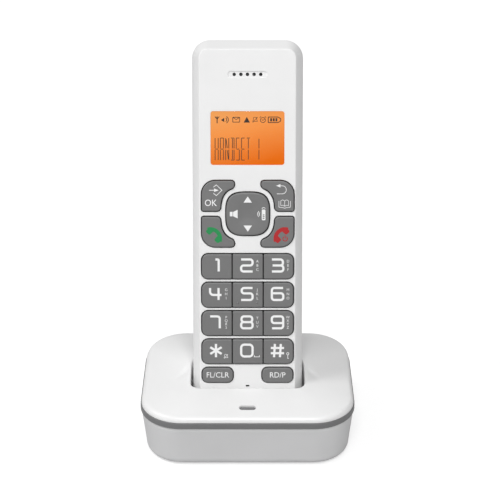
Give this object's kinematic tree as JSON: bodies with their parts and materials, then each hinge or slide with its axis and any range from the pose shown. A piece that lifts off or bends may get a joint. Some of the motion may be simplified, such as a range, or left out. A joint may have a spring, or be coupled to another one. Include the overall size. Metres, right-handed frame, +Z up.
{
  "type": "cordless phone with base",
  "caption": "Cordless handset with display and keypad, leaning back in the charging pocket of a rounded base.",
  "frame": {"origin": "on the ground, under the middle of the whole phone's bounding box", "axes": "+Z up, keys and display face -Y, +X to the right of someone facing the keys"},
  "size_m": [0.0948, 0.088, 0.1715],
  "materials": {
    "white_plastic": "moulded white ABS, satin gloss",
    "tub_plastic": "moulded pale grey ABS, satin",
    "band_plastic": "moulded mid grey ABS, satin",
    "key_grey": "mid grey keys, satin, with pale printed legends",
    "foot_rubber": "black rubber",
    "mat_silicone": "translucent grey silicone",
    "screw_steel": "zinc plated steel",
    "can_steel": "nickel plated steel",
    "contact_gold": "gold flashed contact",
    "board_green": "green solder mask on glass epoxy",
    "lamp_lens": "smoked light pipe",
    "led_clear": "clear resin",
    "socket_black": "black nylon",
    "window_amber": "clear acrylic over an amber display",
    "lcd_amber": "amber lit liquid crystal panel",
    "diffuser_white": "white diffuser",
    "speaker_black": "black speaker frame",
    "cell_sleeve": "printed-free green sleeve"
  },
  "bodies": {
    "base": {"base_top_shell": "white_plastic", "trim_band": "band_plastic", "base_tub": "tub_plastic", "rubber_feet": "foot_rubber", "base_screws": "screw_steel", "base_circuit_board": "board_green", "base_charge_pins": "contact_gold", "light_pipe": "lamp_lens", "indicator_led": "led_clear", "line_socket": "socket_black", "power_socket": "socket_black"},
    "page_button": {"page_button": "key_grey"},
    "handset": {"handset_front_shell": "white_plastic", "handset_rear_shell": "white_plastic", "handset_screws": "screw_steel", "display_window": "window_amber", "lcd_panel": "lcd_amber", "backlight_panel": "diffuser_white", "handset_circuit_board": "board_green", "handset_antenna": "contact_gold", "earpiece_speaker": "speaker_black", "microphone": "can_steel", "ringer_speaker": "speaker_black", "keypad_mat": "mat_silicone", "battery_cells": "cell_sleeve", "battery_springs": "can_steel", "battery_plates": "can_steel", "handset_charge_pads": "contact_gold"},
    "battery_door": {"battery_door": "white_plastic"},
    "key_1": {"key_1": "key_grey"},
    "key_2": {"key_2": "key_grey"},
    "key_3": {"key_3": "key_grey"},
    "key_4": {"key_4": "key_grey"},
    "key_5": {"key_5": "key_grey"},
    "key_6": {"key_6": "key_grey"},
    "key_7": {"key_7": "key_grey"},
    "key_8": {"key_8": "key_grey"},
    "key_9": {"key_9": "key_grey"},
    "key_star": {"key_star": "key_grey"},
    "key_0": {"key_0": "key_grey"},
    "key_hash": {"key_hash": "key_grey"},
    "key_ok": {"key_ok": "key_grey"},
    "key_phonebook": {"key_phonebook": "key_grey"},
    "key_talk": {"key_talk": "key_grey"},
    "key_end": {"key_end": "key_grey"},
    "key_clear": {"key_clear": "key_grey"},
    "key_redial": {"key_redial": "key_grey"},
    "nav_pivot": {"nav_pivot": "mat_silicone"},
    "nav_pad": {"nav_pad": "key_grey"}
  },
  "joints": [
    {"name": "handset_lift", "type": "slide", "parent": "base", "child": "handset", "axis": [0, 0.3231, 0.9464], "range_m": [0, 0.06]},
    {"name": "page_press", "type": "slide", "parent": "base", "child": "page_button", "axis": [0, -1, 0], "range_m": [0, 0.0008], "stiffness_N_per_m": 1500},
    {"name": "battery_door_lift", "type": "slide", "parent": "handset", "child": "battery_door", "axis": [0, 0.9464, -0.3231], "range_m": [0, 0.025]},
    {"name": "key_1_press", "type": "slide", "parent": "handset", "child": "key_1", "axis": [0, 0.9464, -0.3231], "range_m": [0, 0.0008], "stiffness_N_per_m": 1500},
    {"name": "key_2_press", "type": "slide", "parent": "handset", "child": "key_2", "axis": [0, 0.9464, -0.3231], "range_m": [0, 0.0008], "stiffness_N_per_m": 1500},
    {"name": "key_3_press", "type": "slide", "parent": "handset", "child": "key_3", "axis": [0, 0.9464, -0.3231], "range_m": [0, 0.0008], "stiffness_N_per_m": 1500},
    {"name": "key_4_press", "type": "slide", "parent": "handset", "child": "key_4", "axis": [0, 0.9464, -0.3231], "range_m": [0, 0.0008], "stiffness_N_per_m": 1500},
    {"name": "key_5_press", "type": "slide", "parent": "handset", "child": "key_5", "axis": [0, 0.9464, -0.3231], "range_m": [0, 0.0008], "stiffness_N_per_m": 1500},
    {"name": "key_6_press", "type": "slide", "parent": "handset", "child": "key_6", "axis": [0, 0.9464, -0.3231], "range_m": [0, 0.0008], "stiffness_N_per_m": 1500},
    {"name": "key_7_press", "type": "slide", "parent": "handset", "child": "key_7", "axis": [0, 0.9464, -0.3231], "range_m": [0, 0.0008], "stiffness_N_per_m": 1500},
    {"name": "key_8_press", "type": "slide", "parent": "handset", "child": "key_8", "axis": [0, 0.9464, -0.3231], "range_m": [0, 0.0008], "stiffness_N_per_m": 1500},
    {"name": "key_9_press", "type": "slide", "parent": "handset", "child": "key_9", "axis": [0, 0.9464, -0.3231], "range_m": [0, 0.0008], "stiffness_N_per_m": 1500},
    {"name": "key_star_press", "type": "slide", "parent": "handset", "child": "key_star", "axis": [0, 0.9464, -0.3231], "range_m": [0, 0.0008], "stiffness_N_per_m": 1500},
    {"name": "key_0_press", "type": "slide", "parent": "handset", "child": "key_0", "axis": [0, 0.9464, -0.3231], "range_m": [0, 0.0008], "stiffness_N_per_m": 1500},
    {"name": "key_hash_press", "type": "slide", "parent": "handset", "child": "key_hash", "axis": [0, 0.9464, -0.3231], "range_m": [0, 0.0008], "stiffness_N_per_m": 1500},
    {"name": "key_ok_press", "type": "slide", "parent": "handset", "child": "key_ok", "axis": [0, 0.9464, -0.3231], "range_m": [0, 0.0008], "stiffness_N_per_m": 1500},
    {"name": "key_phonebook_press", "type": "slide", "parent": "handset", "child": "key_phonebook", "axis": [0, 0.9464, -0.3231], "range_m": [0, 0.0008], "stiffness_N_per_m": 1500},
    {"name": "key_talk_press", "type": "slide", "parent": "handset", "child": "key_talk", "axis": [0, 0.9464, -0.3231], "range_m": [0, 0.0008], "stiffness_N_per_m": 1500},
    {"name": "key_end_press", "type": "slide", "parent": "handset", "child": "key_end", "axis": [0, 0.9464, -0.3231], "range_m": [0, 0.0008], "stiffness_N_per_m": 1500},
    {"name": "key_clear_press", "type": "slide", "parent": "handset", "child": "key_clear", "axis": [0, 0.9464, -0.3231], "range_m": [0, 0.0008], "stiffness_N_per_m": 1500},
    {"name": "key_redial_press", "type": "slide", "parent": "handset", "child": "key_redial", "axis": [0, 0.9464, -0.3231], "range_m": [0, 0.0008], "stiffness_N_per_m": 1500},
    {"name": "nav_up_down", "type": "hinge", "parent": "handset", "child": "nav_pivot", "pos_m": [0.0001, 0.00552, 0.10125], "axis": [1, 0, 0], "range_deg": [-2.5, 2.5], "stiffness_Nm_per_rad": 0.2},
    {"name": "nav_left_right", "type": "hinge", "parent": "nav_pivot", "child": "nav_pad", "pos_m": [0.0001, 0.00552, 0.10125], "axis": [0, 0.3231, 0.9464], "range_deg": [-2.5, 2.5], "stiffness_Nm_per_rad": 0.2}
  ]
}
